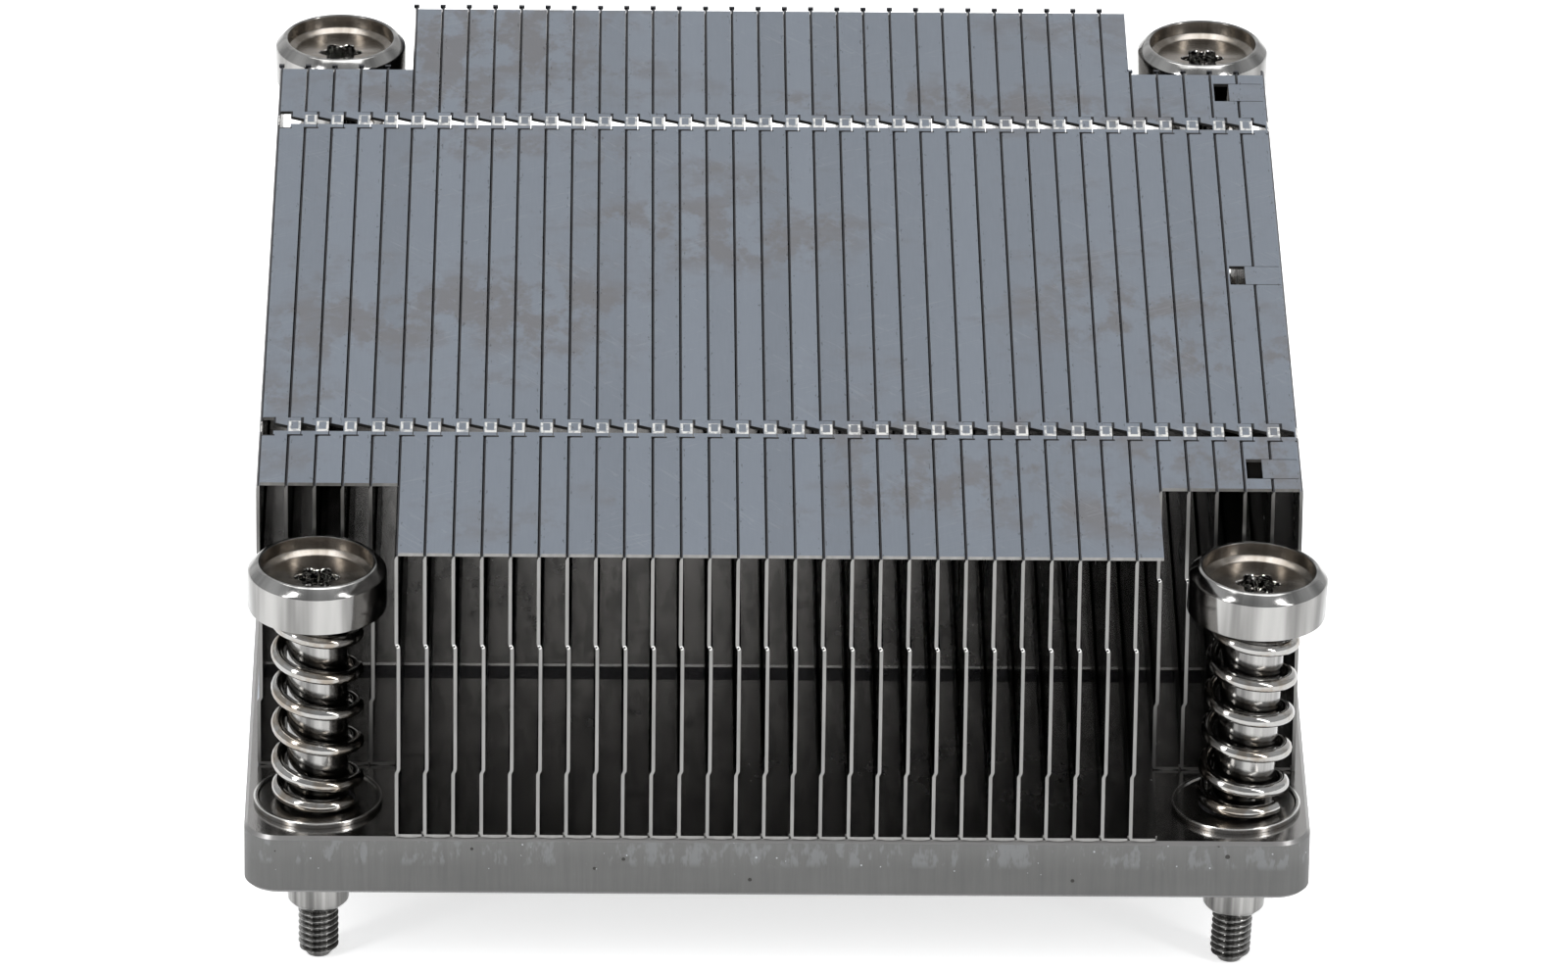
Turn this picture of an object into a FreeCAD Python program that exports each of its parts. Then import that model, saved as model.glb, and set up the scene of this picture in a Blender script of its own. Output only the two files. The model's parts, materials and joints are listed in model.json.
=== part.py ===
import FreeCAD, Part
import math
import os

# Passive heat sink for a server processor: a thick base plate, a stack of folded fins whose
# flanges interlock in two rows like a zipper, a flat plate that closes the stack, and four
# captive spring screws in the corners. Millimetres. X runs across the fins, Y from front to
# rear along the air channels, Z up. The origin is the middle of the base's underside.

Vector = FreeCAD.Vector
Z_AXIS = Vector(0, 0, 1)
Y_AXIS = Vector(0, 1, 0)

# ---------------------------------------------------------------- folded fins
FIN_COUNT = 37
SIDE_FIN_COUNT = 5         # shortened fins beside the screws, on each side
FIN_PITCH = 2.05
FIN_HEIGHT = 22.8
FLANGE_DEPTH = 95.9        # length of a full fin's flanges, front to rear
SHEET = 0.25               # fin sheet thickness
FOLD_RADIUS = 0.32         # outside radius of each fold
FOLD_FLATS = 2             # flats that stand for a fold's curve
FLANGE_REACH = 0.02        # how far a flange's edge reaches in over the next fin's fold
FRONT_OVERHANG = 0.45      # how far the webs stand out past the flanges, in front
REAR_OVERHANG = 0.9        # and at the rear
JOG_OFFSET = 0.15          # sideways step pressed into each web
JOG_BOTTOM = 5.2           # height where the step starts
JOG_TOP = 15.7             # height where it ends
JOG_SLOPE = 0.3            # height of the slope at each end of the step

# ---------------------------------------------------------------- zipper rows
ZIP_FROM_END = 20.9        # distance of each row from the ends of the full flanges
TONGUE_REACH = 0.98        # how far a tongue lies over the next fin
TONGUE_WIDTH = 2.84
ZIP_CLEARANCE = 0.06       # gap between a tongue and its slot
NECK_REAR = 0.6            # the slot's neck: its edges from the row's middle line
NECK_FRONT = 0.8
NECK_TIP = 0.1             # where the neck's slanted rear edge ends
FIRST_SLOT_INSET = 0.2     # sheet left beside the slot of the first fin

# ---------------------------------------------------------------- end plate
TAB_FROM_END = 14.75       # distance of the outer tabs from the ends of the full flanges
TAB_WIDTH = 3.1
TAB_REACH = 0.55           # how far a tab passes over the last web
TAB_CLEARANCE = 0.08
HOLE_INSET = 0.1           # sheet left beside the hole at the tab's tip

# ---------------------------------------------------------------- base plate
BASE_THICKNESS = 4.6
BASE_SIDE_MARGIN = 0.75    # base beyond the fin stack, left and right
BASE_END_MARGIN = 0.55     # base beyond the full flanges, front and rear
BASE_CORNER_RADIUS = 2.5
BASE_EDGE_CHAMFER = 0.25
RECESS_DIAMETER = 8.2      # recess under each corner for the retaining ring
RECESS_DEPTH = 3.0

# ---------------------------------------------------------------- captive screws
SCREW_INSET_Y = 6.0        # from the base's end
HEAD_DIAMETER = 10.1
HEAD_HEIGHT = 3.5
HEAD_CHAMFER = 0.65
HEAD_CLEARANCE_X = 0.65    # air between a head and the full fins beside it
HEAD_CLEARANCE_FRONT = 0.5  # air between a front head and the shortened fins behind it
HEAD_CLEARANCE_REAR = 0.1  # air between a rear head and the shortened fins before it
CUP_DIAMETER = 8.2
CUP_DEPTH = 1.3
CUP_FLOOR_DIAMETER = 7.1
CUP_STEP = 0.3             # height of the sloped step around the cup's floor
DRIVE_DIAMETER = 3.3       # six-lobed drive recess, over the lobes
DRIVE_VALLEY_DIAMETER = 2.4
DRIVE_DEPTH = 1.4
DRIVE_LOBES = 6
SHANK_DIAMETER = 4.5
SHANK_CLEARANCE = 0.5      # air around the shank in the base and the washer
SHANK_BELOW = 3.55         # shank below the base's underside
SHANK_CHAMFER = 0.55
THREAD_DIAMETER = 2.95
THREAD_LENGTH = 4.35
THREAD_ROOT_DIAMETER = 2.35
POINT_DIAMETER = 1.75      # flat end of the screw's point
POINT_LENGTH = 0.6
REAR_LIFT = 3.4            # the rear screws stand this much higher than the front ones
LEAN_DEG = 2.5             # how far the front right screw leans outward in its loose hole
LEAN_PIVOT_BELOW = 4.0     # the lean's pivot, below the base's underside

SIDES = 20                 # flat sides that stand for a turned piece's curve

# ---------------------------------------------------------------- washer, spring, ring
WASHER_DIAMETER = 9.4
WASHER_THICKNESS = 0.3
WASHER_RIM = 0.3           # width of the washer's raised rim
WASHER_RIM_HEIGHT = 0.12
SPRING_LENGTH = 15.6
SPRING_DIAMETER = 6.8      # outside
WIRE_DIAMETER = 0.95
ACTIVE_TURNS = 4.5
CLOSED_TURNS = 0.75        # at each end
CLOSED_PITCH = 1.05        # rise of a closed turn, in wire diameters
STEPS_PER_TURN = 9
WIRE_SIDES = 5
SPRING_PLAY = 0.03         # air between a front spring's top coil and the head
RING_DIAMETER = 6.6
RING_THICKNESS = 0.5
RING_GROOVE_DEPTH = 0.45
RING_PLAY = 0.03           # air between a ring and its groove
RING_MOUTH_DEG = 70.0      # opening of the C-shaped ring
RING_STOP_PLAY = 0.03      # air above the rear rings, under the recess's ceiling

# ---------------------------------------------------------------- worked-out sizes
STACK_WIDTH = FIN_COUNT * FIN_PITCH + SHEET
BASE_WIDTH = STACK_WIDTH + 2 * BASE_SIDE_MARGIN
BASE_DEPTH = FLANGE_DEPTH + 2 * BASE_END_MARGIN
STACK_LEFT = -STACK_WIDTH / 2
BLOCK_HALF_WIDTH = STACK_WIDTH / 2 - SIDE_FIN_COUNT * FIN_PITCH
SCREW_X = BLOCK_HALF_WIDTH + HEAD_CLEARANCE_X + HEAD_DIAMETER / 2
SCREW_Y = BASE_DEPTH / 2 - SCREW_INSET_Y
HEAD_INNER_Y = SCREW_Y - HEAD_DIAMETER / 2
FULL_ENDS = (-FLANGE_DEPTH / 2, FLANGE_DEPTH / 2)      # ends of a full fin's flanges
SHORT_ENDS = (-HEAD_INNER_Y + HEAD_CLEARANCE_FRONT + FRONT_OVERHANG,
              HEAD_INNER_Y - HEAD_CLEARANCE_REAR - REAR_OVERHANG)
FLANGE_EDGE = FIN_PITCH + FLANGE_REACH
ZIP_ROWS = (-FLANGE_DEPTH / 2 + ZIP_FROM_END, FLANGE_DEPTH / 2 - ZIP_FROM_END)
TAB_ROWS = (-FLANGE_DEPTH / 2 + TAB_FROM_END, 0.0, FLANGE_DEPTH / 2 - TAB_FROM_END)
FIN_BOTTOM = BASE_THICKNESS
FIN_TOP = BASE_THICKNESS + FIN_HEIGHT
WASHER_TOP = BASE_THICKNESS + WASHER_THICKNESS
SHANK_HOLE_RADIUS = SHANK_DIAMETER / 2 + SHANK_CLEARANCE
HEAD_BOTTOM = WASHER_TOP + SPRING_LENGTH
HEAD_TOP = HEAD_BOTTOM + HEAD_HEIGHT
RING_TOP = RECESS_DEPTH - RING_STOP_PLAY - REAR_LIFT
OVERCUT = 0.5              # cutters start this far outside what they cut
TOUCH = 1e-6               # closer than this, two places are the same


# ---------------------------------------------------------------- helpers
def box(x0, x1, y0, y1, z0, z1):
    return Part.makeBox(x1 - x0, y1 - y0, z1 - z0, Vector(x0, y0, z0))


def polygon_face(points):
    return Part.Face(Part.makePolygon(points + points[:1]))


def rim_point(radius, height, side):
    """Corner of a turned piece, counted round from +X."""
    angle = 2 * math.pi * side / SIDES
    return Vector(radius * math.cos(angle), radius * math.sin(angle), height)


def turned(profile):
    """Piece turned about Z from (radius, height) points, its curve stood for by flats."""
    faces = []
    for (r0, z0), (r1, z1) in zip(profile, profile[1:] + profile[:1]):
        if max(r0, r1) == 0:
            continue
        for side in range(SIDES):
            lower = [rim_point(r0, z0, side + 1), rim_point(r0, z0, side)]
            upper = [rim_point(r1, z1, side), rim_point(r1, z1, side + 1)]
            faces.append(polygon_face(lower[:2 if r0 else 1] + upper[:2 if r1 else 1]))
    return closed_solid(faces)


def closed_solid(faces):
    """Solid inside a closed set of faces."""
    shell = Part.Shell(faces)
    shell.sewShape()
    solid = Part.Solid(shell)
    if solid.Volume < 0:
        solid.reverse()
    return solid


def cut_all(solid, cutters):
    return solid.cut(Part.makeCompound(cutters)) if cutters else solid


def only_solid(shape):
    """The single solid in a boolean's result, with its split faces joined again."""
    solids = shape.removeSplitter().Solids
    if len(solids) != 1:
        raise ValueError("expected one solid, got %d" % len(solids))
    return solids[0]


def write_step(shape, node):
    shape.exportStep("parts/%s.step" % node)


# ---------------------------------------------------------------- base plate
def base_plate():
    half_w, half_d = BASE_WIDTH / 2, BASE_DEPTH / 2
    plate = box(-half_w, half_w, -half_d, half_d, 0, BASE_THICKNESS)
    upright = [e for e in plate.Edges if abs(e.tangentAt(0).z) > 0.9]
    plate = plate.makeFillet(BASE_CORNER_RADIUS, upright)
    rims = [e for f in plate.Faces if abs(f.normalAt(0, 0).z) > 0.9 for e in f.Edges]
    plate = plate.makeChamfer(BASE_EDGE_CHAMFER, rims)
    cutters = []
    for sx in (-1, 1):
        for sy in (-1, 1):
            hole = turned([(0, -OVERCUT), (RECESS_DIAMETER / 2, -OVERCUT),
                           (RECESS_DIAMETER / 2, RECESS_DEPTH), (SHANK_HOLE_RADIUS, RECESS_DEPTH),
                           (SHANK_HOLE_RADIUS, BASE_THICKNESS + OVERCUT),
                           (0, BASE_THICKNESS + OVERCUT)])
            hole.translate(Vector(sx * SCREW_X, sy * SCREW_Y, 0))
            cutters.append(hole)
    return only_solid(cut_all(plate, cutters))


# ---------------------------------------------------------------- folded fins
def fold(centre_z, start_deg, end_deg):
    """Points round the outside of a fold, as a few flats."""
    points = []
    for step in range(FOLD_FLATS + 1):
        a = math.radians(start_deg + (end_deg - start_deg) * step / FOLD_FLATS)
        points.append(Vector(FOLD_RADIUS * (1 + math.cos(a)), 0,
                             centre_z + FOLD_RADIUS * math.sin(a)))
    return points


def web_side(x, upward):
    """Points up or down one side of a web, through the step pressed into it."""
    points = [Vector(x, 0, JOG_BOTTOM), Vector(x + JOG_OFFSET, 0, JOG_BOTTOM + JOG_SLOPE),
              Vector(x + JOG_OFFSET, 0, JOG_TOP - JOG_SLOPE), Vector(x, 0, JOG_TOP)]
    return points if upward else points[::-1]


def fin_section(edge_x):
    """C-shaped section with its web at x = 0, its bottom at z = 0 and its flanges to edge_x."""
    top = FIN_HEIGHT
    outside = fold(FOLD_RADIUS, 270, 180) + web_side(0, True) + fold(top - FOLD_RADIUS, 180, 90)
    inside = [Vector(edge_x, 0, top), Vector(edge_x, 0, top - SHEET),
              Vector(SHEET, 0, top - SHEET)] + web_side(SHEET, False)
    inside += [Vector(SHEET, 0, SHEET), Vector(edge_x, 0, SHEET), Vector(edge_x, 0, 0)]
    return polygon_face(outside + inside)


def end_trims(front, rear):
    """Cutters that trim the flanges back, so that only the web stands out at both ends."""
    trims = []
    for y0, y1 in ((front - FRONT_OVERHANG - OVERCUT, front),
                   (rear, rear + REAR_OVERHANG + OVERCUT)):
        for z0, z1 in ((-OVERCUT, FOLD_RADIUS), (FIN_HEIGHT - FOLD_RADIUS, FIN_HEIGHT + OVERCUT)):
            trims.append(box(SHEET, FIN_PITCH + OVERCUT, y0, y1, z0, z1))
    return trims


def zip_slot(row_y, left_x):
    """Bottle-shaped slot: a body that takes the last fin's tongue, and a neck beside it."""
    body_x = TONGUE_REACH + ZIP_CLEARANCE
    half = TONGUE_WIDTH / 2 + ZIP_CLEARANCE
    outline = [(left_x, -half), (body_x, -half), (body_x, -NECK_FRONT),
               (FLANGE_EDGE, -NECK_FRONT), (FLANGE_EDGE, NECK_TIP), (body_x, NECK_REAR),
               (body_x, half), (left_x, half)]
    floor_z = FIN_HEIGHT - SHEET - ZIP_CLEARANCE
    face = polygon_face([Vector(x, row_y + y, floor_z) for x, y in outline])
    return face.extrude(Vector(0, 0, SHEET + ZIP_CLEARANCE + OVERCUT))


def zip_tongue(row_y):
    half = TONGUE_WIDTH / 2
    return box(FLANGE_EDGE, FIN_PITCH + TONGUE_REACH, row_y - half, row_y + half,
               FIN_HEIGHT - SHEET, FIN_HEIGHT)


def tab_room(left_x, right_x, tab_y):
    """Room in the last two flanges for one tab of the end plate."""
    half = TAB_WIDTH / 2 + TAB_CLEARANCE
    return box(left_x, right_x, tab_y - half, tab_y + half,
               FIN_HEIGHT - SHEET - TAB_CLEARANCE, FIN_HEIGHT + OVERCUT)


def fin(index):
    first, last = index == 0, index == FIN_COUNT - 1
    shortened = index < SIDE_FIN_COUNT or index >= FIN_COUNT - SIDE_FIN_COUNT
    front, rear = SHORT_ENDS if shortened else FULL_ENDS
    section = fin_section(FIN_PITCH if last else FLANGE_EDGE)
    section.translate(Vector(0, front - FRONT_OVERHANG, 0))
    sheet = section.extrude(Vector(0, rear - front + FRONT_OVERHANG + REAR_OVERHANG, 0))
    cutters = end_trims(front, rear)
    slot_left = FIRST_SLOT_INSET if first else -OVERCUT
    cutters += [zip_slot(y, slot_left) for y in ZIP_ROWS]
    if last:
        cutters += [tab_room(-OVERCUT, FIN_PITCH + OVERCUT, y) for y in TAB_ROWS]
    if index == FIN_COUNT - 2:
        cutters += [tab_room(SHEET + HOLE_INSET, FIN_PITCH + OVERCUT, y) for y in TAB_ROWS]
    sheet = cut_all(sheet, cutters)
    if not last:
        sheet = sheet.fuse([zip_tongue(y) for y in ZIP_ROWS])
    solid = only_solid(sheet)
    solid.translate(Vector(STACK_LEFT + index * FIN_PITCH, 0, FIN_BOTTOM))
    return solid


# ---------------------------------------------------------------- end plate
def end_plate():
    """Flat sheet that closes the stack, with three tabs folded over the last flanges."""
    front, rear = SHORT_ENDS
    plate = box(0, SHEET, front - FRONT_OVERHANG, rear + REAR_OVERHANG, 0, FIN_HEIGHT)
    tabs = [box(-FIN_PITCH - TAB_REACH, SHEET, y - TAB_WIDTH / 2, y + TAB_WIDTH / 2,
                FIN_HEIGHT - SHEET, FIN_HEIGHT) for y in TAB_ROWS]
    solid = only_solid(plate.fuse(tabs))
    folds = [e for e in solid.Edges if len(e.Vertexes) == 2
             and all(abs(v.X - SHEET) < TOUCH and abs(v.Z - FIN_HEIGHT) < TOUCH
                     for v in e.Vertexes)]
    solid = solid.makeChamfer(SHEET / 2, folds)
    solid.translate(Vector(STACK_LEFT + FIN_COUNT * FIN_PITCH, 0, FIN_BOTTOM))
    return solid


# ---------------------------------------------------------------- captive screws
def drive_recess(top_z):
    """Recess for the driver, with lobes and valleys by turns."""
    points = []
    for step in range(2 * DRIVE_LOBES):
        a = math.pi * step / DRIVE_LOBES
        r = (DRIVE_VALLEY_DIAMETER if step % 2 else DRIVE_DIAMETER) / 2
        points.append(Vector(r * math.cos(a), r * math.sin(a), top_z - DRIVE_DEPTH))
    return polygon_face(points).extrude(Vector(0, 0, DRIVE_DEPTH + OVERCUT))


def screw():
    """Cup-headed shoulder screw on the Z axis, at the height of the front pair."""
    head_r, shank_r = HEAD_DIAMETER / 2, SHANK_DIAMETER / 2
    groove_r = shank_r - RING_GROOVE_DEPTH
    groove_top = RING_TOP + RING_PLAY
    groove_bottom = RING_TOP - RING_THICKNESS - RING_PLAY
    cup_z = HEAD_TOP - CUP_DEPTH
    shank_end = -SHANK_BELOW
    thread_end = shank_end - THREAD_LENGTH + POINT_LENGTH
    thread = Part.makeCylinder(THREAD_DIAMETER / 2, shank_end - thread_end,
                               Vector(0, 0, thread_end))
    point = turned([(0, thread_end - POINT_LENGTH), (POINT_DIAMETER / 2, thread_end - POINT_LENGTH),
                    (THREAD_ROOT_DIAMETER / 2, thread_end), (0, thread_end)])
    profile = [(0, shank_end), (shank_r - SHANK_CHAMFER, shank_end),
               (shank_r, shank_end + SHANK_CHAMFER), (shank_r, groove_bottom),
               (groove_r, groove_bottom), (groove_r, groove_top), (shank_r, groove_top),
               (shank_r, HEAD_BOTTOM), (head_r, HEAD_BOTTOM), (head_r, HEAD_TOP - HEAD_CHAMFER),
               (head_r - HEAD_CHAMFER, HEAD_TOP), (CUP_DIAMETER / 2, HEAD_TOP),
               (CUP_DIAMETER / 2, cup_z + CUP_STEP), (CUP_FLOOR_DIAMETER / 2, cup_z), (0, cup_z)]
    return only_solid(turned(profile).cut(drive_recess(cup_z)).fuse([thread, point]))


def retaining_ring():
    """C-shaped ring in the shank's groove."""
    inner = SHANK_DIAMETER / 2 - RING_GROOVE_DEPTH + RING_PLAY
    outer = RING_DIAMETER / 2
    bottom = RING_TOP - RING_THICKNESS
    ring = turned([(inner, bottom), (outer, bottom), (outer, RING_TOP), (inner, RING_TOP)])
    spread = outer * math.tan(math.radians(RING_MOUTH_DEG / 2))
    mouth = polygon_face([Vector(0, 0, bottom), Vector(-spread, -outer, bottom),
                          Vector(spread, -outer, bottom)])
    return only_solid(ring.cut(mouth.extrude(Vector(0, 0, RING_THICKNESS))))


def washer(x, y):
    """Flat washer with a raised rim that keeps the spring centred."""
    outer, seat = WASHER_DIAMETER / 2, WASHER_TOP
    rim_top = seat + WASHER_RIM_HEIGHT
    ring = turned([(SHANK_HOLE_RADIUS, BASE_THICKNESS), (outer, BASE_THICKNESS),
                   (outer, rim_top), (outer - WASHER_RIM, rim_top),
                   (outer - WASHER_RIM - WASHER_RIM_HEIGHT, seat), (SHANK_HOLE_RADIUS, seat)])
    ring.translate(Vector(x, y, 0))
    return ring


def wire_ring(centre, angle):
    """Corners of the spring's wire, in an upright section that faces along the coil."""
    outward = Vector(math.cos(angle), math.sin(angle), 0)
    reach = WIRE_DIAMETER / 2
    turns = [2 * math.pi * side / WIRE_SIDES for side in range(WIRE_SIDES)]
    return [centre + outward * (reach * math.cos(a)) + Z_AXIS * (reach * math.sin(a))
            for a in turns]


def tube(rings):
    """Closed solid through rings of corners, in triangles so that it may twist."""
    faces = [polygon_face(rings[0]), polygon_face(rings[-1])]
    for ring, after in zip(rings, rings[1:]):
        for a in range(WIRE_SIDES):
            b = (a + 1) % WIRE_SIDES
            faces.append(polygon_face([ring[a], ring[b], after[b]]))
            faces.append(polygon_face([ring[a], after[b], after[a]]))
    return closed_solid(faces)


def spring(x, y, lean):
    """Left-handed compression spring with closed ends, standing on its washer."""
    radius = (SPRING_DIAMETER - WIRE_DIAMETER) / 2
    tilt_loss = SPRING_DIAMETER / 2 * math.sin(lean) + SPRING_PLAY
    rise = SPRING_LENGTH - tilt_loss - WIRE_DIAMETER
    closed_rise = CLOSED_TURNS * WIRE_DIAMETER * CLOSED_PITCH
    turns = ACTIVE_TURNS + 2 * CLOSED_TURNS
    steps = round(turns * STEPS_PER_TURN)
    knots = [(0, 0), (CLOSED_TURNS, closed_rise), (turns - CLOSED_TURNS, rise - closed_rise),
             (turns, rise)]
    rings = []
    for step in range(steps + 1):
        turn = turns * step / steps
        for (t0, z0), (t1, z1) in zip(knots, knots[1:]):
            if turn <= t1 + TOUCH:
                height = z0 + (z1 - z0) * (turn - t0) / (t1 - t0)
                break
        z = WASHER_TOP + WIRE_DIAMETER / 2 + height
        angle = math.pi / 2 - 2 * math.pi * turn
        shift = math.tan(lean) * (z + LEAN_PIVOT_BELOW)
        centre = Vector(x + shift + radius * math.cos(angle), y + radius * math.sin(angle), z)
        rings.append(wire_ring(centre, angle))
    return tube(rings)


# ---------------------------------------------------------------- build and write
def placed(shape, x, y, lift, lean_deg):
    """A shape from the Z axis, leaned about its pivot, lifted and moved to its corner."""
    copy = shape.copy()
    copy.translate(Vector(0, 0, lift))
    copy.rotate(Vector(0, 0, -LEAN_PIVOT_BELOW), Y_AXIS, lean_deg)
    copy.translate(Vector(x, y, 0))
    return copy


def main():
    os.makedirs("parts", exist_ok=True)
    write_step(base_plate(), "base_plate")
    for index in range(FIN_COUNT):
        write_step(fin(index), "fin_%02d" % (index + 1))
    write_step(end_plate(), "end_plate")
    master_screw, master_ring = screw(), retaining_ring()
    corners = (("front_left", -1, -1, 0.0, 0.0), ("front_right", 1, -1, 0.0, LEAN_DEG),
               ("rear_left", -1, 1, REAR_LIFT, 0.0), ("rear_right", 1, 1, REAR_LIFT, 0.0))
    for name, sx, sy, lift, lean in corners:
        x, y = sx * SCREW_X, sy * SCREW_Y
        write_step(placed(master_screw, x, y, lift, lean), "screw_" + name)
        write_step(placed(master_ring, x, y, lift, lean), "retaining_ring_" + name)
        write_step(washer(x, y), "washer_" + name)
        write_step(spring(x, y, math.radians(lean)), "spring_" + name)


main()
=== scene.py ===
import json
import math

import bpy
from mathutils import Matrix, Vector


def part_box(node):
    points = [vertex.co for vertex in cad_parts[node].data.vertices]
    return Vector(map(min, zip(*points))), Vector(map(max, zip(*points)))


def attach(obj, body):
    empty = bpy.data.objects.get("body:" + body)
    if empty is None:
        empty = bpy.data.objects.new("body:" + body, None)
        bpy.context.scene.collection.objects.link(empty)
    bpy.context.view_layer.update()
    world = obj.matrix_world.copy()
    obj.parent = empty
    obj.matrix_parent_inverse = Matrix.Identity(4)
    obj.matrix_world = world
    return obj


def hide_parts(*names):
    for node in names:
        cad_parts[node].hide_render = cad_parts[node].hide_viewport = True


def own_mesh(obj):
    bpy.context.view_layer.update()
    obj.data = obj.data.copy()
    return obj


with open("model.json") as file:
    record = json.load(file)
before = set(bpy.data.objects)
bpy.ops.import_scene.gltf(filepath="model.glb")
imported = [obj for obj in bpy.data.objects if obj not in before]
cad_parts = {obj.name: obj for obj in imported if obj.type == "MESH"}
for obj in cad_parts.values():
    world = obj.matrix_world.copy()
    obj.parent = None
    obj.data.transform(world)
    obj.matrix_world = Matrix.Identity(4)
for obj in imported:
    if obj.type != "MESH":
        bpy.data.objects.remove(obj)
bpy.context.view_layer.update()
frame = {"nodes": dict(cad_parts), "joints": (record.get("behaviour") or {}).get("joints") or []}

bl_info = {
    "name": "Server heat sink",
    "version": (1, 0, 0),
    "blender": (4, 5, 0),
    "location": "3D View > Sidebar > Heat sink",
    "description": "Finishes a passive server heat sink: fins, base, spring screws and stage",
    "category": "Object",
}

MM = 0.001
CORNERS = ("front_left", "front_right", "rear_left", "rear_right")
FINS = sorted(name for name in frame["nodes"] if name.startswith("fin_"))
JOINTS = {joint["name"]: joint for joint in frame["joints"]}


def mm(metres):
    return metres / MM


def middle_of(node):
    """Middle of a node's box."""
    low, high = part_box(node)
    return [(high[axis] + low[axis]) / 2 for axis in range(3)]


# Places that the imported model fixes
FIN_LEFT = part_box(FINS[0])[0][0]
FIN_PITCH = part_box(FINS[1])[0][0] - FIN_LEFT
FIN_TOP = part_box(FINS[0])[1][2]
FIN_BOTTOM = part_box(FINS[0])[0][2]


# ---------------------------------------------------------------- settings
def length(name, about, value_mm):
    return bpy.props.FloatProperty(name=name, description=about, default=value_mm * MM,
                                   unit="LENGTH", precision=5)


def colour(name, about, value):
    return bpy.props.FloatVectorProperty(name=name, description=about, default=value,
                                         subtype="COLOR", size=3, min=0.0, max=1.0)


class HeatsinkScrewSettings(bpy.types.PropertyGroup):
    head_height: length("Head height", "Height of the cup-shaped head", 3.5)
    head_diameter: length("Head diameter", "Outside diameter of the head", 10.1)
    chamfer: length("Chamfer", "Slope around the head's mouth", 0.65)
    cup_diameter: length("Cup diameter", "Mouth of the cup", 8.2)
    cup_depth: length("Cup depth", "Depth of the cup's floor", 1.3)
    floor_diameter: length("Floor diameter", "Flat floor inside the cup", 7.1)
    drive_diameter: length("Drive diameter", "Six-lobed recess, over its lobes", 3.3)
    drive_depth: length("Drive depth", "Depth of the drive recess", 1.3)
    shank_chamfer: length("Shank chamfer", "Slope at the shank's lower end", 0.55)
    groove_height: length("Groove height", "Ring groove above the screw's tip", 6.94)
    groove_width: length("Groove width", "Width of the ring groove", 0.56)
    groove_depth: length("Groove depth", "Depth of the ring groove", 0.45)
    point_diameter: length("Point diameter", "Flat end of the screw's point", 1.75)
    point_length: length("Point length", "Taper of the screw's point", 0.6)
    shank_diameter: length("Shank diameter", "Smooth part of the screw", 4.5)
    thread_diameter: length("Thread diameter", "Over the thread's crests", 2.95)
    thread_pitch: length("Thread pitch", "Spacing of the thread's crests", 0.5)
    thread_length: length("Thread length", "Threaded end below the shank", 4.05)
    cup_step: length("Cup step", "Sloped step around the cup's floor", 0.3)
    thread_depth: length("Thread depth", "From crest to root", 0.3)


class HeatsinkSpringSettings(bpy.types.PropertyGroup):
    diameter: length("Diameter", "Outside diameter of the coils", 6.8)
    wire: length("Wire", "Diameter of the wire", 0.95)
    active_turns: bpy.props.FloatProperty(name="Active turns", default=4.5,
                                          description="Open coils between the closed ends")
    start: bpy.props.FloatProperty(name="Start", default=math.radians(-36.0), subtype="ANGLE",
                                   description="Where the wire's lower end lies, round from +X")
    closed_turns: bpy.props.FloatProperty(name="Closed turns", default=0.75,
                                          description="Flat coils at each end")
    seat: length("Seat", "Washer's seat above the base", 0.3)
    points_per_turn: bpy.props.IntProperty(name="Points per turn", default=40,
                                           description="How finely the coil is divided")


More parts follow.
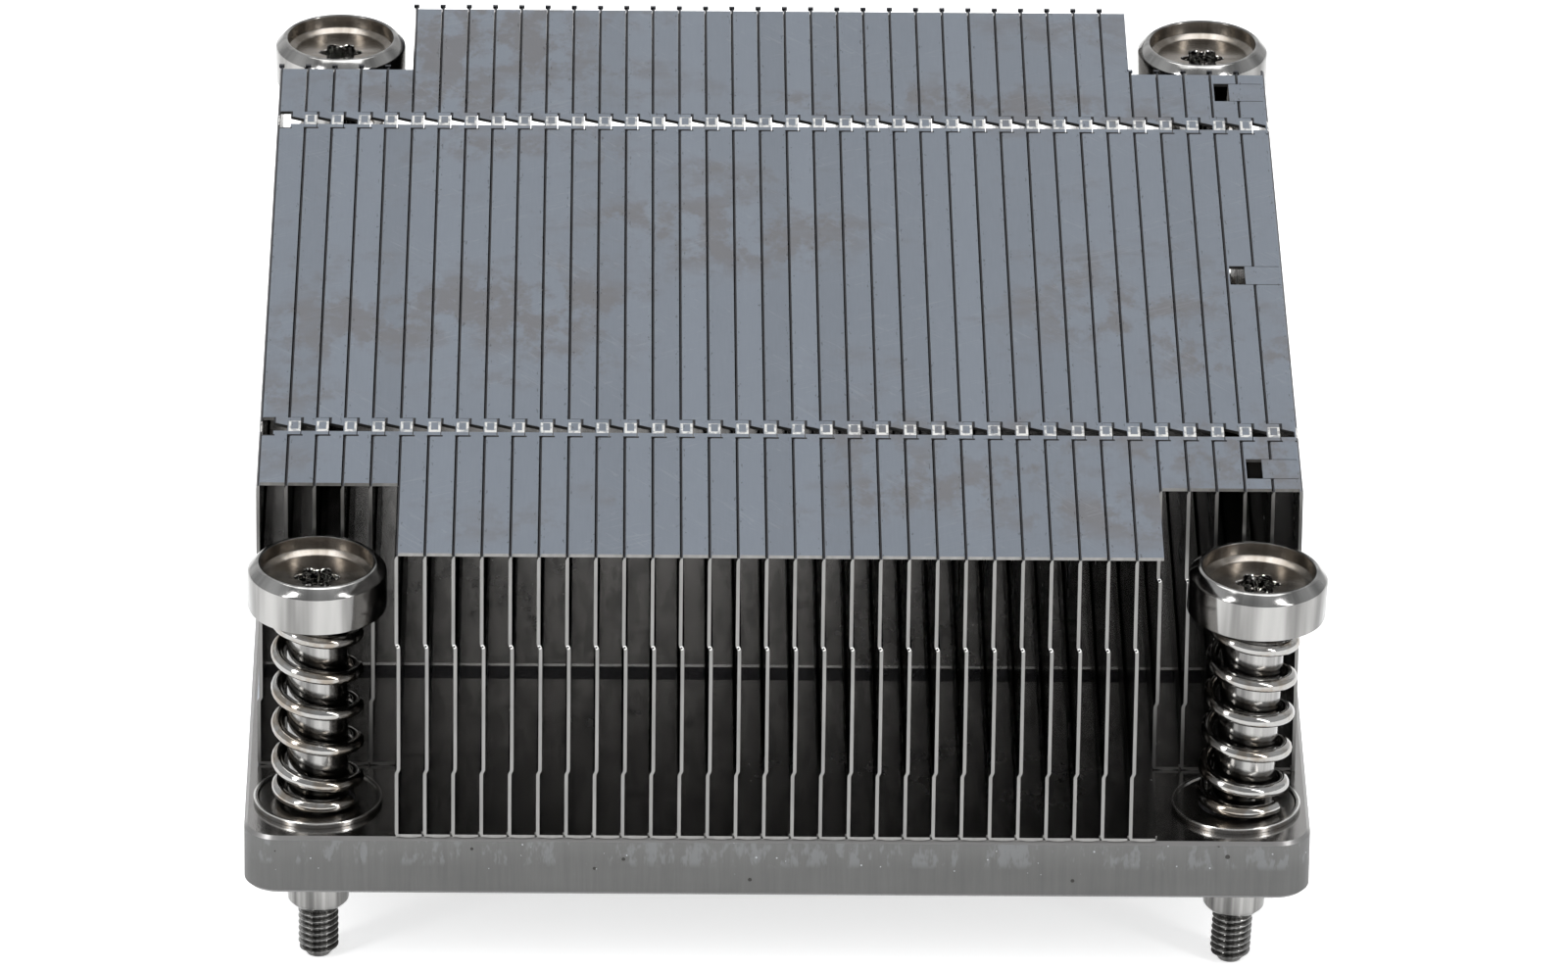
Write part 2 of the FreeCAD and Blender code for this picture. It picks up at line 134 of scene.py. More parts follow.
class HeatsinkFinSettings(bpy.types.PropertyGroup):
    sheet: colour("Sheet", "Plated fin sheet", (0.235, 0.265, 0.31))
    stain: colour("Stain", "Brownish stains on the sheet", (0.19, 0.18, 0.18))
    # Inner: the same plating as Sheet; its own colour inside the channels is painted shade
    inner: colour("Inner", "Sheet inside the channels", (0.25, 0.243, 0.235))
    edge: colour("Edge", "Cut edges of the sheet", (0.25, 0.247, 0.24))
    # Painted shade: this near black fills the gaps beside the folds, the lower seams' gaps, the
    # pinholes and the cracks round the tongues
    groove: colour("Groove", "Grime in the grooves between the fins", (0.012, 0.012, 0.016))
    # Painted highlight on the rims of the zipper windows and round the pinholes
    rim_highlight: colour("Pressed", "Burnished rims of the zipper windows", (0.88, 0.87, 0.84))
    scratch: colour("Scratch", "Thin marks on the flanges", (0.42, 0.44, 0.47))
    spot: colour("Spot", "Dirt beside the folds", (0.05, 0.05, 0.055))
    # Painted highlight beside each lower seam's gap
    seam_glint: colour("Solder", "Bright ends of the lower seams", (0.97, 0.96, 0.94))
    cap: colour("Cap", "Caps on the webs' rear ends", (0.05, 0.052, 0.06))
    zip_from_end: length("Zipper from end", "Each zipper row from the flange ends", 20.9)
    rear_overhang: length("Rear overhang", "Webs beyond the flanges at the rear", 0.9)
    nub_width: length("Nub width", "Caps on the webs' rear ends", 0.42)
    sheet_thickness: length("Sheet thickness", "Thickness of the fin sheet", 0.25)
    web_overhang: length("Web overhang", "Webs beyond the flanges in front", 0.45)
    lip_gap: length("Lip gap", "Gap between a lip and the next web", 0.1)
    # Width of the painted shade beside each fold
    groove_width: length("Groove width", "Dark groove beside each fold", 0.225)
    jog_height: length("Jog height", "Upper step of the webs above the fins' foot", 15.5)
    block_width: length("Block width", "Width over the full fins", 55.6)
    # The lower seams are painted: each gap as painted shade, its bright end as a painted highlight
    seam_place: length("Seam place", "Lower zipper seams from the middle, front and rear", 22.2)
    seam_width: length("Seam width", "Length of a lower seam's dark gap", 2.1)
    seam_glint_half: length("Solder half", "Half the length of a seam's bright end", 0.2)
    seam_glint_gap: length("Solder gap", "From the dark gap to the middle of its bright end", 0.25)
    fold_height: length("Fold height", "Rounded fold below the fins' tops", 0.36)
    step_reach: length("Step reach", "Outer faces of the first web lie within this", 0.2)
    foot_height: length("Foot height", "Bottom flanges lie below this", 0.4)
    cap_height: length("Cap height", "Dark caps reach down this far", 1.0)
    # Pinholes are painted as shade, their rims as a painted highlight
    pinhole: length("Pinhole", "Radius of the pinholes in the webs' steps", 0.085)
    pinhole_rim: length("Pinhole rim", "Radius of their bright rims", 0.16)


class HeatsinkPlateSettings(bpy.types.PropertyGroup):
    side: colour("Side", "Satin sides of the base plate", (0.140, 0.140, 0.138))
    top: colour("Top", "Polished top of the base plate", (0.36, 0.35, 0.34))
    haze: colour("Haze", "Hazy patches high on the sides", (0.17, 0.18, 0.19))
    pit: colour("Pit", "Small pits in the sides", (0.03, 0.028, 0.025))
    dust: colour("Dust", "Specks of dust on the sides", (0.5, 0.52, 0.54))
    bevel: colour("Bevel", "Bevelled edges", (0.3, 0.3, 0.3))
    ring: colour("Ring", "Spring steel of the retaining rings", (0.1, 0.1, 0.105))
    dark: colour("Dark", "Shaded metal in the drive recesses", (0.03, 0.028, 0.026))
    # Root: painted shade in the roots of the threads
    root: colour("Root", "Roots of the threads", (0.06, 0.058, 0.055))
    nickel: colour("Nickel", "Bright nickel of screws and springs", (0.40, 0.395, 0.385))
    # Tarnish in the cups and on the washers; on the springs' wire this colour is a painted warm
    # reflection
    tarnish: colour("Tarnish", "Warm tarnish in cups and on the wire", (0.25, 0.205, 0.155))
    # Sparkle: painted glints in the drive recesses and a painted highlight on the washers' rims
    sparkle: colour("Sparkle", "Bright cut facets in the drive recesses", (0.85, 0.84, 0.82))
    washer_diameter: length("Washer diameter", "Outside diameter of the washers", 9.4)
    washer_hole: length("Washer hole", "Inside diameter of the washers", 5.5)
    washer_thickness: length("Washer thickness", "Washer at its seat", 0.3)
    washer_rim: length("Washer rim", "Height and width of the raised rim", 0.12)


class HeatsinkStageSettings(bpy.types.PropertyGroup):
    lens: bpy.props.FloatProperty(name="Lens", default=323.0, unit="CAMERA",
                                  description="Focal length on a 36 mm sensor")
    distance: length("Distance", "Camera from the aim point", 1063.0)
    elevation: bpy.props.FloatProperty(name="Elevation", default=math.radians(26.0),
                                       subtype="ANGLE", description="Camera above the floor")
    azimuth: bpy.props.FloatProperty(name="Azimuth", default=math.radians(-0.78),
                                     subtype="ANGLE", description="Camera to the left if negative")
    roll: bpy.props.FloatProperty(name="Roll", default=math.radians(0.71), subtype="ANGLE",
                                  description="Turn about the line of sight")
    aim_height: length("Aim height", "Aim point above the base's underside", 9.57)
    aim_aside: length("Aim aside", "Aim point to the right of the middle", 0.8)
    floor_size: length("Floor size", "Side of the square floor", 4000.0)


# ---------------------------------------------------------------- node graphs
def math_method(operation, swapped=False):
    """A method that adds one Math node: a swapped one has its own value last."""
    def method(self, *others):
        values = (*others, self) if swapped else (self, *others)
        inputs = dict(enumerate(values))
        return self.graph.value("ShaderNodeMath", {"operation": operation}, inputs)
    return method


class Value:
    """A socket with Python's operators, so that an expression adds its Math nodes."""

    def __init__(self, graph, socket):
        self.graph = graph
        self.socket = socket

    __add__ = math_method("ADD")
    __radd__ = math_method("ADD", swapped=True)
    __sub__ = math_method("SUBTRACT")
    __rsub__ = math_method("SUBTRACT", swapped=True)
    __mul__ = math_method("MULTIPLY")
    __truediv__ = math_method("DIVIDE")
    __gt__ = math_method("GREATER_THAN")
    __lt__ = math_method("LESS_THAN")
    __pow__ = math_method("POWER")
    __abs__ = math_method("ABSOLUTE")
    floor = math_method("FLOOR")
    modulo = math_method("FLOORED_MODULO")
    sin = math_method("SINE")
    cos = math_method("COSINE")
    least = math_method("MINIMUM")
    most = math_method("MAXIMUM")

    def ramp(self, low, high):
        """Map low..high smoothly to 0..1."""
        return self.graph.value("ShaderNodeMapRange", {"interpolation_type": "SMOOTHSTEP"},
                                {"Value": self, "From Min": low, "From Max": high})


class Graph:
    """A node tree that is written as Python expressions."""

    def __init__(self, tree):
        self.tree = tree

    def node(self, kind, settings=None, inputs=None):
        node = self.tree.nodes.new(kind)
        for name, setting in (settings or {}).items():
            setattr(node, name, setting)
        for key, value in (inputs or {}).items():
            if isinstance(value, Value):
                self.tree.links.new(value.socket, node.inputs[key])
            else:
                node.inputs[key].default_value = value
        return node

    def value(self, kind, settings=None, inputs=None, output=0):
        return Value(self, self.node(kind, settings, inputs).outputs[output])

    def vector(self, x, y, z):
        return self.value("ShaderNodeCombineXYZ", None, {"X": x, "Y": y, "Z": z})

    def split(self, vector):
        node = self.node("ShaderNodeSeparateXYZ", None, {0: vector})
        return [Value(self, socket) for socket in node.outputs]


class Finish(Graph):
    """A material of one metal, read in millimetres of the object's own coordinates."""

    def __init__(self, name):
        material = bpy.data.materials.new(name)
        material.use_nodes = True
        material.node_tree.nodes.clear()
        super().__init__(material.node_tree)
        self.material = material
        place = self.value("ShaderNodeTexCoord", None, None, "Object")
        scaled = self.value("ShaderNodeVectorMath", {"operation": "SCALE"},
                            {0: place, "Scale": 1 / MM})
        self.x, self.y, self.z = self.split(scaled)
        normal = self.value("ShaderNodeTexCoord", None, None, "Normal")
        self.nx, self.ny, self.nz = self.split(normal)

    def own_place(self):
        """X, Y, Z and radius in millimetres, in a turned piece's own place."""
        own = self.node("ShaderNodeAttribute", {"attribute_name": "local"})
        x, y, z = self.split(Value(self, own.outputs["Vector"]))
        return x, y, z, (x * x + y * y) ** 0.5

    def noise(self, scale, detail, roughness=0.5, shift=0.0):
        """Noise of about 0 to 1, with scale in waves per millimetre along each axis."""
        place = self.vector(self.x * scale[0] + shift, self.y * scale[1] + shift,
                            self.z * scale[2] + shift)
        return self.value("ShaderNodeTexNoise", None,
                          {"Vector": place, "Scale": 1.0, "Detail": detail,
                           "Roughness": roughness})

    def mix(self, factor, first, second):
        """Mix two colours."""
        node = self.node("ShaderNodeMix", {"data_type": "RGBA", "clamp_factor": True})
        sockets = {"Factor": node.inputs[0], "A": node.inputs[6], "B": node.inputs[7]}
        for key, value in (("Factor", factor), ("A", first), ("B", second)):
            if isinstance(value, Value):
                self.tree.links.new(value.socket, sockets[key])
            elif key == "Factor":
                sockets[key].default_value = value
            else:
                sockets[key].default_value = (*value[:3], 1.0)
        return Value(self, node.outputs[2])

    def shade(self, base, factor):
        """A colour made lighter or darker by a factor."""
        return self.value("ShaderNodeVectorMath", {"operation": "SCALE"},
                          {0: base, "Scale": factor})

    def metal(self, tint, roughness, bump, strength, depth):
        """End the tree in a metal, with bumps of a depth in millimetres."""
        normal = self.value("ShaderNodeBump", None,
                            {"Strength": strength, "Distance": depth * MM, "Height": bump})
        shader = self.value("ShaderNodeBsdfPrincipled", None,
                            {"Base Color": tint, "Roughness": roughness, "Metallic": 1.0,
                             "Normal": normal})
        self.node("ShaderNodeOutputMaterial", None, {"Surface": shader})
        return self.material


# Noise scales, in waves per millimetre along X, Y and Z
GRAIN_NOISE = (7.0, 0.35, 7.0)
CLOUD_NOISE = (0.045, 0.06, 0.06)
BLOTCH_NOISE = (0.35, 0.2, 0.35)
DIRT_NOISE = (5.0, 1.1, 5.0)
DRIP_NOISE = (0.9, 0.16, 0.4)
CUT_NOISE = (2.0, 2.0, 0.25)
GLINT_PATCH_NOISE = (2.2, 1.6, 2.2)
STROKE_NOISE = (2.2, 2.2, 0.12)
PLATE_CLOUD_NOISE = (0.12, 0.12, 0.3)
PATCH_NOISE = (0.9, 0.9, 0.35)

# Zipper windows and the cracks round them, in millimetres: X from the fin's left side,
# Y from the row's middle line
WINDOW_X, WINDOW_HALF = (0.1, 1.02), 0.85
HOLLOW_X, HOLLOW_MIDDLE, HOLLOW_HALF = (0.28, 0.8), 0.15, 0.62
CRACK_Y, CRACK_HALF, CRACK_END = 1.5, 0.13, 1.15
CRACK_X, CRACK_HALF_X, CRACK_SIDE_Y = 1.1, 0.09, (0.55, 1.5)


def speckle(finish, density, seed):
    """Small round pits or dust: 1 inside a spot."""
    place = finish.vector(finish.x * density + seed, finish.y * density, finish.z * density)
    cells = finish.node("ShaderNodeTexVoronoi", None, {"Vector": place, "Scale": 1.0})
    distance = Value(finish, cells.outputs["Distance"])
    hue = finish.split(Value(finish, cells.outputs["Color"]))[0]
    return (distance < hue * 0.1) * (hue > 0.6)


def scratches(finish, angle, spacing, seed):
    """Thin straight marks at an angle on the horizontal faces: 1 on a mark."""
    along = finish.x * math.cos(angle) + finish.y * math.sin(angle)
    across = finish.y * math.cos(angle) - finish.x * math.sin(angle)
    place = finish.vector(along * 0.05 + seed, across * spacing, seed)
    line = finish.value("ShaderNodeTexNoise", None,
                        {"Vector": place, "Scale": 1.0, "Detail": 2.0, "Roughness": 0.6})
    thin = abs(line - 0.5) < 0.006
    broken = finish.noise((0.12, 0.12, 0.12), 2.0, 0.5, seed + 7.0) > 0.56
    return thin * broken


def zip_marks(f, settings):
    """Masks of the zipper rows: window rims for a painted highlight, and cracks round the tongues
    for painted shade.
    """
    across = (f.x - mm(FIN_LEFT)).modulo(mm(FIN_PITCH))
    low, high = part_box(FINS[len(FINS) // 2])
    rims, cracks = 0.0, 0.0
    for row in (low[1] + settings.web_overhang + settings.zip_from_end,
                high[1] - settings.rear_overhang - settings.zip_from_end):
        along = f.y - mm(row)
        window = (across > WINDOW_X[0]) * (across < WINDOW_X[1]) * (abs(along) < WINDOW_HALF)
        hollow = (across > HOLLOW_X[0]) * (across < HOLLOW_X[1])
        hollow = hollow * (abs(along - HOLLOW_MIDDLE) < HOLLOW_HALF)
        rims = window * (1.0 - hollow) + rims
        below = (abs(along + CRACK_Y) < CRACK_HALF) * (across < CRACK_END)
        beside = abs(across - CRACK_X) < CRACK_HALF_X
        beside = beside * (along > CRACK_SIDE_Y[0]) * (along < CRACK_SIDE_Y[1])
        cracks = below.most(beside) + cracks
    return rims * (f.nz > 0.5), cracks * (f.nz > 0.5)


def jog_distance(f, settings, across, edge):
    """Distance in millimetres from the pinhole at each web's upper step, on its cut edge."""
    aside = across - mm(settings.sheet_thickness) * 0.8
    above = f.z - mm(FIN_BOTTOM + settings.jog_height)
    return (aside * aside + above * above) ** 0.5 + (1.0 - edge) * 10.0


def sheet_paint(f, settings, across, grain, cloud, stained):
    """Flanges and outer webs: a tone for each fin, stains, scratches, dirt, and painted shade in
    the grooves beside the folds.
    """
    index = ((f.x - mm(FIN_LEFT)) / mm(FIN_PITCH)).floor()
    tone = f.value("ShaderNodeTexWhiteNoise", {"noise_dimensions": "1D"}, {"W": index}, "Value")
    sheet = f.shade(settings.sheet, 0.8 + tone * 0.14 + grain * 0.12 + cloud * 0.12)
    sheet = f.mix(stained, sheet, settings.stain)
    marks = scratches(f, 0.5, 1.1, 2.0) + scratches(f, -0.9, 0.9, 9.0)
    sheet = f.mix(marks * 0.16, sheet, settings.scratch)
    near_fold = (across < 0.5).most(across > mm(FIN_PITCH) - 0.25)
    spots = (f.noise(DIRT_NOISE, 2.0, 0.6, 17.0) > 0.64) * near_fold
    sheet = f.mix(spots * 0.5, sheet, settings.spot)
    # Painted shade: a dark line in the groove beside each fold
    fold = (f.z > mm(FIN_TOP - settings.fold_height)) * (f.nz < 0.97) * (f.nz > 0.1)
    return f.mix(fold * (across < mm(settings.groove_width)), sheet, settings.groove)


def channel_paint(f, settings, blotch):
    """Inside of the channels: darker sheet as painted shade, with drips, and the lower zipper
    seams: painted shade in each seam's gap and a painted highlight beside it.
    """
    drips = f.noise(DRIP_NOISE, 3.0, 0.6, 23.0).ramp(0.5, 0.56)
    channel = f.shade(settings.inner, (1.12 - drips * 0.3) * (0.85 + blotch * 0.3))
    from_seam = abs(f.y) - mm(settings.seam_place)
    foot = (f.nz > 0.5) * (f.z < mm(FIN_BOTTOM + settings.foot_height))
    half = mm(settings.seam_width) / 2
    # Painted highlight beside each seam's gap, and painted shade in the gap
    bright = abs(from_seam + half + mm(settings.seam_glint_gap)) < mm(settings.seam_glint_half)
    channel = f.mix(foot * (abs(from_seam) < half), channel, settings.groove)
    return f.mix(bright * foot, channel, settings.seam_glint)


def cap_mask(f, settings):
    """The webs' rear ends near their tops: 1 on an end."""
    full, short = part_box(FINS[len(FINS) // 2])[1][1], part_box(FINS[0])[1][1]
    block = abs(f.x - mm(middle_of("base_plate")[0])) < mm(settings.block_width) / 2
    from_end = f.y - (block * mm(full - short) + mm(short))
    overhangs = from_end > 0.03 - mm(settings.rear_overhang)
    return overhangs * (f.z > mm(FIN_TOP - settings.cap_height))


def fin_finish(settings):
    """Satin plated sheet: grain along the fins, stains, scratches and bright cut edges, with
    painted shade in the gaps and channels and painted highlights on the rims.
    """
    f = Finish("fin_sheet")
    across = (f.x - mm(FIN_LEFT) + 0.001).modulo(mm(FIN_PITCH))
    grain = f.noise(GRAIN_NOISE, 4.0, 0.6)
    cloud = f.noise(CLOUD_NOISE, 5.0, 0.62, 3.0)
    blotch = f.noise(BLOTCH_NOISE, 4.0, 0.65, 11.0)
    stained = cloud.ramp(0.46, 0.62) * blotch.ramp(0.42, 0.58) * 0.7
    sheet = sheet_paint(f, settings, across, grain, cloud, stained)
    upper = (f.nz > 0.5) * (f.z > mm(FIN_TOP - settings.sheet_thickness / 2))
    leftmost = f.x < mm(FIN_LEFT + settings.step_reach)
    outer = upper.most(leftmost).most(f.x > mm(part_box("end_plate")[1][0]) - 0.05)
    # Tops and outer faces keep the sheet colour; faces inside the channels take the inner colour
    # as painted shade
    sheet = f.mix(outer, channel_paint(f, settings, blotch), sheet)
    edge = abs(f.ny).ramp(0.75, 0.95)
    cut = f.shade(settings.edge, 0.7 + f.noise(CUT_NOISE, 3.0, 0.6, 6.0) * 0.6)
    sheet = f.mix(edge, sheet, cut)
    # Pinhole on each web's step: painted shade inside a ring of painted highlight
    hole = jog_distance(f, settings, across, edge)
    rim = mm(settings.pinhole_rim)
    sheet = f.mix(hole.ramp(rim + 0.01, rim - 0.01), sheet, settings.rim_highlight)
    sheet = f.mix(hole < mm(settings.pinhole), sheet, settings.groove)
    # Cracks round the tongues painted as shade; window rims as a patchy painted highlight
    rims, cracks = zip_marks(f, settings)
    sheet = f.mix(cracks * outer, sheet, settings.groove)
    glint_patches = f.noise(GLINT_PATCH_NOISE, 2.0, 0.6, 31.0).ramp(0.36, 0.56)
    sheet = f.mix(rims * outer * (0.35 + glint_patches * 0.65), sheet, settings.rim_highlight)
    sheet = f.mix(cap_mask(f, settings), sheet, settings.cap)
    rough = 0.3 + blotch * 0.12 + stained * 0.1 - (1.0 - outer) * (1.0 - edge) * 0.16
    height = (grain * 0.5 + blotch * 0.8) * outer
    return f.metal(sheet, rough, height, 0.25, 0.03)


def plate_finish(settings):
    """Base plate: satin milled sides with upright marks and pits, and a polished top."""
    f = Finish("base_plate_nickel")
    upward = f.nz.ramp(0.5, 0.9)
    strokes = f.noise(STROKE_NOISE, 4.0, 0.65)
    cloud = f.noise(PLATE_CLOUD_NOISE, 3.0, 0.6, 5.0)
    band = f.z.ramp(2.0, 4.4)
    patches = f.noise(PATCH_NOISE, 3.0, 0.7, 8.0).ramp(0.5, 0.62) * f.z.ramp(2.2, 2.9)
    light = 0.62 + strokes * 0.36 + cloud * 0.2 + band * 0.14 + patches * 0.3
    side = f.shade(settings.side, light)
    side = f.mix(patches * 0.4, side, settings.haze)
    side = f.mix(speckle(f, 0.55, 1.0) * 0.8, side, settings.pit)
    side = f.mix(speckle(f, 1.3, 4.0) * 0.7 * f.z.ramp(1.6, 2.4), side, settings.dust)
    side = f.mix((abs(f.nz) > 0.3) * 0.7, side, settings.bevel)
    tint = f.mix(upward, side, settings.top)
    rough = 0.42 - upward * 0.3 + strokes * 0.1
    return f.metal(tint, rough, strokes + cloud, 0.2, 0.04)


def spring_finish(settings):
    """Bright nickel wire, with faint draw marks, warm brown patches of painted reflection, and
    wear.
    """
    f = Finish("spring_nickel")
    cloud = f.noise((0.5, 0.5, 0.5), 4.0, 0.6)
    fine = f.noise((3.0, 3.0, 9.0), 3.0, 0.6, 4.0)
    # Warm brown patches on the wire: painted reflection
    tint = f.mix(cloud.ramp(0.42, 0.62) * 0.7, settings.nickel, settings.tarnish)
    tint = f.shade(tint, 0.9 + fine * 0.2)
    rough = 0.08 + fine * 0.05 + cloud.ramp(0.5, 0.7) * 0.06
    return f.metal(tint, rough, fine, 0.08, 0.01)


def washer_finish(settings):
    """Pressed nickel washer: a dull face inside a rim with a painted highlight."""
    f = Finish("washer_nickel")
    _x, _y, z, radius = f.own_place()
    fine = f.noise((2.5, 2.5, 2.5), 3.0, 0.6, 4.0)
    rim = radius > mm(settings.washer_diameter / 2 - settings.washer_rim * 1.2)
    face = f.shade(f.mix(fine.ramp(0.4, 0.65) * 0.5, settings.nickel, settings.tarnish), 0.75)
    # Painted highlight along the top of the rim
    tint = f.mix(rim * (z > mm(settings.washer_thickness)), face, settings.sparkle)
    return f.metal(tint, 0.16 + fine * 0.1, fine, 0.1, 0.01)


def screw_finish(settings, screws, height):
    """Turned nickel read in the screw's own place: upright bands of painted reflection, warm cup,
    dark recess of painted shade with painted glints, and painted shade in the thread's roots.
    """
    f = Finish("screw_nickel")
    x, y, z, radius = f.own_place()
    # Upright bands: painted reflection of the surroundings on the turned sides
    sector = f.vector(x / radius * 1.6, y / radius * 1.6, z * 0.02)
    band = f.value("ShaderNodeTexNoise", None, {"Vector": sector, "Scale": 1.5, "Detail": 3.0})
    fine = f.noise((6.0, 6.0, 6.0), 3.0, 0.7, 4.0)
    tint = f.shade(settings.nickel, 0.3 + band.ramp(0.3, 0.7) * 0.75)
    top = mm(height)
    cup = top - mm(screws.cup_depth)
    in_cup = (z > cup - 0.02) * (radius < mm(screws.cup_diameter) / 2 + 0.02)
    tint = f.mix(in_cup * (0.2 + fine * 0.5), tint, settings.tarnish)
    # Drive recess: painted shade broken by painted glints
    recess = (z < cup - 0.02) * (z > top - 4.0)
    in_drive = recess * (radius < mm(screws.drive_diameter) / 2 + 0.05)
    tint = f.mix(in_drive * (fine < 0.52), tint, settings.dark)
    tint = f.mix(in_drive * (fine > 0.52), tint, settings.sparkle)
    # Painted shade in the roots of the thread
    thread = z < mm(screws.thread_length)
    root = mm(screws.thread_diameter) / 2 - 0.12
    tint = f.mix(thread * (radius < root) * 0.6, tint, settings.root)
    rough = 0.1 + fine * 0.08 + in_cup * 0.1
    return f.metal(tint, rough, fine, 0.1, 0.01)


def ring_finish(settings):
    """Spring steel with a faint grain."""
    f = Finish("ring_steel")
    fine = f.noise((4.0, 4.0, 4.0), 3.0)
    tint = f.shade(settings.ring, 0.8 + fine * 0.4)
    return f.metal(tint, 0.35 + fine * 0.1, fine, 0.1, 0.01)


# ---------------------------------------------------------------- meshes
SCREW_SEGMENTS = 96
WASHER_SEGMENTS = 72
ROWS_PER_CREST = 12        # rings of the mesh for each turn of the thread
FLANK_SLOPE = 2.3          # how steeply a thread's crest falls to its root
CREST_FLAT = 1.25          # cuts the crests off flat
LOBES = 6
VALLEY = 0.72              # radius between the lobes, as a share of the lobes' own
POINT_SHARE = 0.6          # width of the point, as a share of the thread's
TOP_SHARE = 0.87           # width of the head's flat top, as a share of the head's
CLOSED_RISE = 2.1          # rise of a closed turn, in radii of the wire
BAR_MIDDLE = 0.4           # a bar's level underside, to each side, as a share of its width
BAR_LIFT = 0.3             # rise of its lower corners, as a share of its height


def finished(name, mesh, material, body, *nodes, slot):
    """Put a mesh in the scene as a finished piece that stands for CAD nodes."""
    mesh.materials.clear()
    mesh.materials.append(material)
    piece = bpy.data.objects.new(name, mesh)
    bpy.context.scene.collection.objects.link(piece)
    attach(piece, body)
    if nodes:
        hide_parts(*nodes)
    return piece


def lathe(name, rings, segments, hollow=False):
    """Closed mesh of rings, each (radius, height): a radius may depend on the angle.

    A hollow one joins its last ring to its first, and the others get a pole at each end.
    """
    verts, faces = [], []
    for radius, height in rings:
        for step in range(segments):
            angle = 2 * math.pi * step / segments
            r = radius(angle, height) if callable(radius) else radius
            verts.append((r * math.cos(angle), r * math.sin(angle), height))
    count = len(verts)
    for row in range(len(rings) - (0 if hollow else 1)):
        for step in range(segments):
            a = row * segments + step
            b = row * segments + (step + 1) % segments
            faces.append((a, b, (b + segments) % count, (a + segments) % count))
    if not hollow:
        verts.append((0, 0, rings[0][1]))
        verts.append((0, 0, rings[-1][1]))
        last = count - segments
        for step in range(segments):
            after = (step + 1) % segments
            faces.append((count, after, step))
            faces.append((count + 1, last + step, last + after))
    mesh = bpy.data.meshes.new(name)
    mesh.from_pydata(verts, [], faces)
    own = mesh.attributes.new("local", "FLOAT_VECTOR", "POINT")
    own.data.foreach_set("vector", [axis / MM for vert in verts for axis in vert])
    mesh.polygons.foreach_set("use_smooth", [True] * len(mesh.polygons))
    mesh.set_sharp_from_angle(angle=math.radians(32))
    return mesh


def softened(corners, radius):
    """Round each inner corner of a profile with three points."""
    points = [corners[0]]
    for before, corner, after in zip(corners, corners[1:], corners[2:]):
        here = Vector(corner)
        back, onward = Vector(before) - here, Vector(after) - here
        reach = min(radius, back.length * 0.45, onward.length * 0.45)
        start = here + back.normalized() * reach
        end = here + onward.normalized() * reach
        middle = (start + end) / 4 + here / 2
        points += [tuple(start), tuple(middle), tuple(end)]
    return points + [corners[-1]]


def screw_rings(settings, height):
    """Rings of a cup-headed shoulder screw whose top is at z = height, standing on z = 0."""
    head_r, cup_r = settings.head_diameter / 2, settings.cup_diameter / 2
    shank_r, crest_r = settings.shank_diameter / 2, settings.thread_diameter / 2
    root_r = crest_r - settings.thread_depth
    top, cup_z = height, height - settings.cup_depth
    floor_r = settings.floor_diameter / 2
    drive_z = cup_z - settings.drive_depth
    lobe_r = settings.drive_diameter / 2
    point_r = settings.point_diameter / 2

    def thread(angle, z):
        phase = (z / settings.thread_pitch - angle / (2 * math.pi)) % 1.0
        ridge = max(0.0, 1 - abs(phase - 0.5) * FLANK_SLOPE)
        taper = min(1.0, z / settings.point_length)
        return (point_r + (root_r - point_r) * taper
                + (crest_r - root_r) * min(1.0, ridge * CREST_FLAT) * taper ** 2)

    def lobes(share):
        def radius(angle, _z):
            wave = 0.5 + 0.5 * math.cos(LOBES * angle)
            return lobe_r * share * (VALLEY + (1 - VALLEY) * wave ** 0.8)
        return radius

    rows = round(settings.thread_length / settings.thread_pitch * ROWS_PER_CREST)
    rings = [(point_r, 0.0)]
    rings += [(thread, settings.thread_length * (row + 1) / rows) for row in range(rows)]
    base_z = settings.thread_length
    slope, groove_z = settings.shank_chamfer, settings.groove_height
    groove_r, groove_top = shank_r - settings.groove_depth, groove_z + settings.groove_width
    outline = [(root_r, base_z), (shank_r - slope, base_z), (shank_r, base_z + slope),
               (shank_r, groove_z), (groove_r, groove_z), (groove_r, groove_top),
               (shank_r, groove_top),
               (shank_r, top - settings.head_height), (head_r, top - settings.head_height),
               (head_r, top - settings.chamfer), (head_r - settings.chamfer, top),
               (cup_r, top), (cup_r, cup_z + settings.cup_step), (floor_r, cup_z),
               (lobe_r * 1.3, cup_z)]
    rings += softened(outline, 0.12 * MM)
    rings += [(lobes(1.04), cup_z), (lobes(1.0), cup_z - 0.06 * MM),
              (lobes(0.98), drive_z), (lobes(0.5), drive_z - 0.1 * MM)]
    return rings


def build_screws(settings, plating):
    """The four screws, each leaned about its own turning axis."""
    low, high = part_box("screw_" + CORNERS[0])
    material = screw_finish(plating, settings, high[2] - low[2])
    for corner in CORNERS:
        node = "screw_" + corner
        low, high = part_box(node)
        hinge = JOINTS["turn_" + corner]
        axis = Vector(hinge["axis"]).normalized()
        pivot = Vector(hinge["pos_m"])
        lean = math.asin(axis.x)
        tilt = abs(math.sin(lean))
        foot = low[2] + settings.thread_diameter / 2 * POINT_SHARE * tilt
        top = high[2] - settings.head_diameter / 2 * TOP_SHARE * tilt
        height = (top - foot) / math.cos(lean)
        mesh = lathe(node + "_turned", screw_rings(settings, height), SCREW_SEGMENTS)
        base = pivot + axis * ((foot - pivot.z) / axis.z)
        turn = Vector((0, 0, 1)).rotation_difference(axis).to_matrix().to_4x4()
        mesh.transform(Matrix.Translation(base) @ turn)
        finished(node + "_nickel", mesh, material, "driver_" + corner, node, slot="screw")


